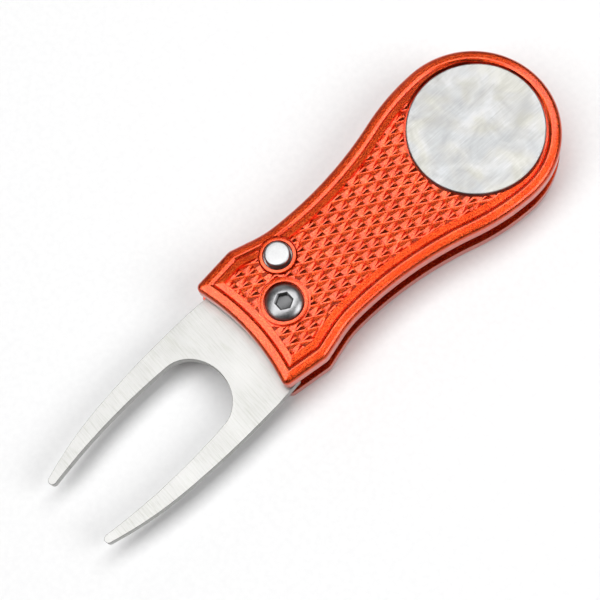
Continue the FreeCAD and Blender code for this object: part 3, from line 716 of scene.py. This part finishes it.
class Graph:
    """A short way to write a material's nodes."""

    def __init__(self, name):
        self.material = bpy.data.materials.new(name)
        self.material.use_nodes = True
        self.tree = self.material.node_tree
        self.tree.nodes.clear()
        self.out = self.tree.nodes.new("ShaderNodeOutputMaterial")
        self.shader = self.tree.nodes.new("ShaderNodeBsdfPrincipled")
        self.link(self.shader.outputs[0], self.out.inputs["Surface"])
        self.coords = self.tree.nodes.new("ShaderNodeTexCoord").outputs["Object"]

    def link(self, source, target):
        self.tree.links.new(source, target)

    def set(self, **values):
        for name, value in values.items():
            self.shader.inputs[name.replace("_", " ")].default_value = value

    def mapped(self, scale, turn=0.0, shift=(0, 0, 0)):
        node = self.tree.nodes.new("ShaderNodeMapping")
        node.inputs["Scale"].default_value = scale
        node.inputs["Rotation"].default_value = (0, 0, turn)
        node.inputs["Location"].default_value = shift
        self.link(self.coords, node.inputs["Vector"])
        return node.outputs[0]

    def noise(self, vector, scale, detail=2.0, roughness=0.5, distortion=0.0):
        node = self.tree.nodes.new("ShaderNodeTexNoise")
        node.inputs["Scale"].default_value = scale
        node.inputs["Detail"].default_value = detail
        node.inputs["Roughness"].default_value = roughness
        node.inputs["Distortion"].default_value = distortion
        self.link(vector, node.inputs["Vector"])
        return node.outputs[0]

    def spread(self, value, low, high, start=0.3, end=0.7):
        """Map a 0 to 1 value onto a range."""
        node = self.tree.nodes.new("ShaderNodeMapRange")
        node.inputs["From Min"].default_value = start
        node.inputs["From Max"].default_value = end
        node.inputs["To Min"].default_value = low
        node.inputs["To Max"].default_value = high
        self.link(value, node.inputs["Value"])
        return node.outputs[0]

    def math(self, how, a, b):
        node = self.tree.nodes.new("ShaderNodeMath")
        node.operation = how
        for socket, value in zip(node.inputs, (a, b)):
            if isinstance(value, (int, float)):
                socket.default_value = value
            else:
                self.link(value, socket)
        return node.outputs[0]

    def ramp(self, value, stops):
        node = self.tree.nodes.new("ShaderNodeValToRGB")
        elements = node.color_ramp.elements
        while len(elements) < len(stops):
            elements.new(0.5)
        for element, (position, colour) in zip(elements, stops):
            element.position = position
            element.color = (*colour, 1)
        self.link(value, node.inputs["Fac"])
        return node.outputs[0]

    def tinted(self, first, second):
        """Two colours multiplied."""
        node = self.tree.nodes.new("ShaderNodeVectorMath")
        node.operation = "MULTIPLY"
        self.link(first, node.inputs[0])
        self.link(second, node.inputs[1])
        return node.outputs[0]

    def bump(self, height, distance, strength=1.0):
        node = self.tree.nodes.new("ShaderNodeBump")
        node.inputs["Distance"].default_value = distance * MM
        node.inputs["Strength"].default_value = strength
        self.link(height, node.inputs["Height"])
        self.link(node.outputs[0], self.shader.inputs["Normal"])


def paint():
    """Metallic orange-red with a coarse flake and a satin coat."""
    g = Graph("orange_paint")
    flake = g.noise(g.coords, 5800, 2.0, 0.6)
    fine = g.noise(g.coords, 11000, 1.0, 0.5)
    cloud = g.noise(g.coords, 260, 3.0, 0.6)
    grain = g.math("ADD", g.math("MULTIPLY", flake, 0.7), g.math("MULTIPLY", fine, 0.3))
    tone = g.math("ADD", g.math("MULTIPLY", grain, 0.85), g.math("MULTIPLY", cloud, 0.15))
    colour = g.ramp(tone, [
        (0.36, (0.42, 0.016, 0.001)),
        (0.50, (0.66, 0.050, 0.005)),
        (0.64, (0.90, 0.145, 0.034)),
    ])
    g.link(colour, g.shader.inputs["Base Color"])
    g.link(g.spread(grain, 0.18, 0.30), g.shader.inputs["Roughness"])
    g.set(Metallic=0.97, Coat_Weight=0.6, Coat_Roughness=0.18)
    g.bump(grain, 0.062, 1.0)
    return g.material


def brushed(name, colour, roughness, turn):
    """Steel with fine lines that run across it."""
    g = Graph(name)
    fine = g.noise(g.mapped((420, 7600, 420), turn), 1.0, 3.0, 0.6)
    broad = g.noise(g.mapped((160, 2900, 160), turn), 1.0, 3.0, 0.6)
    blotch = g.noise(g.coords, 150, 3.0, 0.6)
    line_tone = g.math("ADD", g.math("MULTIPLY", fine, 0.5), g.math("MULTIPLY", broad, 0.5))
    tone = g.math("ADD", g.math("MULTIPLY", line_tone, 0.75), g.math("MULTIPLY", blotch, 0.25))
    dark = tuple(c * share for c, share in zip(colour, (0.72, 0.73, 0.68)))
    light = tuple(c * 1.14 for c in colour)
    g.link(g.ramp(tone, [(0.36, dark), (0.5, colour), (0.64, light)]), g.shader.inputs["Base Color"])
    g.link(g.spread(line_tone, roughness - 0.08, roughness + 0.08), g.shader.inputs["Roughness"])
    g.set(Metallic=1.0)
    g.bump(line_tone, 0.014, 0.6)
    return g.material


def disc_steel():
    """Polished disc with crossing fine scratches and a soft cloudy swirl."""
    g = Graph("disc_steel")
    first = g.noise(g.mapped((5200, 300, 300), math.radians(38)), 1.0, 3.0, 0.6)
    second = g.noise(g.mapped((4800, 260, 260), math.radians(-32)), 1.0, 3.0, 0.6)
    cloud = g.noise(g.coords, 170, 3.0, 0.55, 0.8)
    tint = g.noise(g.mapped((1, 1, 1), 0.0, (0.31, 0.17, 0)), 210, 2.0, 0.5, 0.4)
    scratch = g.math("MULTIPLY", g.math("ADD", first, second), 0.5)
    tone = g.math("ADD", g.math("MULTIPLY", scratch, 0.35), g.math("MULTIPLY", cloud, 0.65))
    grey = g.ramp(tone, [
        (0.38, (0.29, 0.29, 0.284)),
        (0.50, (0.39, 0.388, 0.38)),
        (0.62, (0.51, 0.51, 0.51)),
    ])
    cast = g.ramp(tint, [(0.36, (1.0, 0.99, 0.93)), (0.5, (1, 1, 1)), (0.64, (0.95, 0.97, 1.0))])
    g.link(g.tinted(grey, cast), g.shader.inputs["Base Color"])
    g.link(g.spread(cloud, 0.42, 0.52), g.shader.inputs["Roughness"])
    g.set(Metallic=1.0)
    g.bump(scratch, 0.008, 0.5)
    return g.material


def plain_metal(name, colour, roughness, shade=None):
    """Turned or cast metal with a fine even grain; an optional pair of heights adds painted shade that
    darkens the colour downwards between them.
    """
    g = Graph(name)
    fine = g.noise(g.coords, 3000, 3.0, 0.6)
    blotch = g.noise(g.coords, 300, 2.0, 0.5)
    tone = g.math("ADD", g.math("MULTIPLY", fine, 0.5), g.math("MULTIPLY", blotch, 0.5))
    dark = tuple(c * 0.8 for c in colour)
    light = tuple(min(1.0, c * 1.12) for c in colour)
    shown = g.ramp(tone, [(0.35, dark), (0.5, colour), (0.65, light)])
    # painted shade: below the lower height the colour drops to 0.35 of itself, standing in for the shadow
    # down in the screw's socket and at the foot of its head
    if shade:
        height = g.tree.nodes.new("ShaderNodeSeparateXYZ")
        g.link(g.coords, height.inputs[0])
        shown = g.tinted(shown, g.spread(height.outputs[2], 0.35, 1.0, shade[0] * MM, shade[1] * MM))
    g.link(shown, g.shader.inputs["Base Color"])
    g.link(g.spread(fine, roughness - 0.05, roughness + 0.07), g.shader.inputs["Roughness"])
    g.set(Metallic=1.0)
    g.bump(fine, 0.004, 0.4)
    return g.material


def floor_material():
    """Matt white card."""
    g = Graph("floor_white")
    speck = g.noise(g.coords, 900, 2.0, 0.5)
    white = g.ramp(speck, [(0.3, (0.82, 0.82, 0.822)), (0.7, (0.85, 0.85, 0.85))])
    g.link(white, g.shader.inputs["Base Color"])
    g.set(Roughness=0.75, Specular_IOR_Level=0.15)
    return g.material


def paint_with(obj, material):
    obj.data.materials.clear()
    obj.data.materials.append(material)


# ---------------------------------------------------------------- the pieces

ORANGE = paint()
STEEL = {
    "fork": brushed("fork_steel", (0.405, 0.403, 0.393), 0.44, -FORK_YAW),
    "disc": disc_steel(),
    # the screw steel gets painted shade: darker towards its socket floor and the foot of its head
    "screw": plain_metal("screw_steel_dark_painted_shade", (0.27, 0.27, 0.275), 0.33, shade=(TOP - 1.0, TOP - 0.3)),
    "button": plain_metal("button_steel_bright", (0.36, 0.36, 0.362), 0.36),
    "pin": plain_metal("pin_steel_ground", (0.62, 0.62, 0.63), 0.3),
    "spring": plain_metal("spring_steel_drawn", (0.42, 0.42, 0.44), 0.32),
    "bronze": plain_metal("washer_bronze_sintered", (0.55, 0.33, 0.14), 0.42),
    "nickel": plain_metal("magnet_nickel_plate", (0.66, 0.63, 0.58), 0.2),
    "alloy": plain_metal("spacer_alloy_cast", (0.55, 0.56, 0.57), 0.45),
}

COIL = return_spring()
PIECES = [
    (front_scale(), "front_scale", "handle", "handle_paint", ORANGE),
    (back_scale(), "back_scale", "handle", "handle_paint", ORANGE),
    (fork(), "fork", "fork", "fork_steel", STEEL["fork"]),
    (screw(), "pivot_screw", "handle", "pivot_steel", STEEL["screw"]),
    (button(), "lock_button", "button", "button_steel", STEEL["button"]),
    (marker(), "ball_marker", "marker", "marker_steel", STEEL["disc"]),
    (COIL, "button_spring", "handle", "spring_steel", STEEL["spring"]),
]
for piece, node, body, slot, material in PIECES:
    paint_with(piece, material)
    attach(piece, body)
    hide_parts(node)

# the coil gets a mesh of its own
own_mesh(COIL)

for node, finish in {
    "spring_pin": "pin",
    "pivot_barrel": "pin",
    "back_washer": "bronze",
    "front_washer": "bronze",
    "torsion_spring": "spring",
    "lock_plunger": "pin",
    "open_stop_pin": "pin",
    "closed_stop_pin": "pin",
    "marker_magnet": "nickel",
    "head_spacer": "alloy",
    # the head screws lie wholly below the lower of the screw finish's two heights, so its downward darkening
    # leaves them at their darkest all over
    "head_screws": "screw",
}.items():
    paint_with(NODES[node], STEEL[finish])


# ---------------------------------------------------------------- floor, light and camera

def stage_floor():
    """A wide flat sheet that the tool lies on."""
    half = 3000
    corners = [(-half, -half, 0), (half, -half, 0), (half, half, 0), (-half, half, 0)]
    floor = mesh_object("floor", corners, [(0, 1, 2, 3)])
    paint_with(floor, floor_material())


def softbox(name, lean_x, lean_y, spread_x, spread_y, radiance, distance=0.7):
    """A rectangular light: where it hangs and its half size are angles in degrees, seen from the tool."""
    tilt = [math.tan(math.radians(a)) for a in (lean_x, lean_y)]
    back = unit(np.array([tilt[0], tilt[1], 1.0]))
    across = unit(np.array([1.0, 0.0, 0.0]) - back[0] * back)
    above = np.cross(back, across)
    light = bpy.data.lights.new(name, "AREA")
    light.shape = "RECTANGLE"
    light.size = 2 * distance * math.tan(math.radians(spread_x))
    light.size_y = 2 * distance * math.tan(math.radians(spread_y))
    light.energy = radiance * math.pi * light.size * light.size_y
    obj = bpy.data.objects.new(name, light)
    turn = Matrix([list(row) for row in np.stack([across, above, back], 1)]).to_4x4()
    obj.matrix_world = Matrix.Translation(Vector(back * distance)) @ turn
    bpy.context.scene.collection.objects.link(obj)


def world_light(strength):
    world = bpy.data.worlds.new("studio")
    world.use_nodes = True
    background = world.node_tree.nodes["Background"]
    background.inputs["Color"].default_value = (1, 1, 1, 1)
    background.inputs["Strength"].default_value = strength
    bpy.context.scene.world = world


def camera():
    """The view is from the fork-swing side, high up, with a slight roll."""
    azimuth, elevation, roll = (math.radians(a) for a in (67.19, 73.14, -19.42))
    distance = 308.3
    target = np.array([-0.604, -1.4, 0.0])
    back = np.array([
        math.sin(azimuth) * math.cos(elevation),
        -math.cos(azimuth) * math.cos(elevation),
        math.sin(elevation),
    ])
    right = unit(np.cross(-back, [0, 0, 1]))
    up = np.cross(right, -back)
    across = math.cos(roll) * right + math.sin(roll) * up
    above = -math.sin(roll) * right + math.cos(roll) * up
    data = bpy.data.cameras.new("camera")
    data.sensor_width = 36.0
    data.lens = 102.0
    data.clip_start = 0.01
    obj = bpy.data.objects.new("camera", data)
    turn = Matrix([list(row) for row in np.stack([across, above, back], 1)]).to_4x4()
    obj.matrix_world = Matrix.Translation(Vector(target + back * distance) * MM) @ turn
    bpy.context.scene.collection.objects.link(obj)
    bpy.context.scene.camera = obj


stage_floor()
world_light(0.06)
softbox("key", -12, -6, 14, 50, 3.95)
softbox("right", 40, 30, 17, 16, 4.5)
softbox("left", -64, 40, 16, 16, 0.7)
camera()
bpy.context.scene.view_settings.view_transform = "Standard"
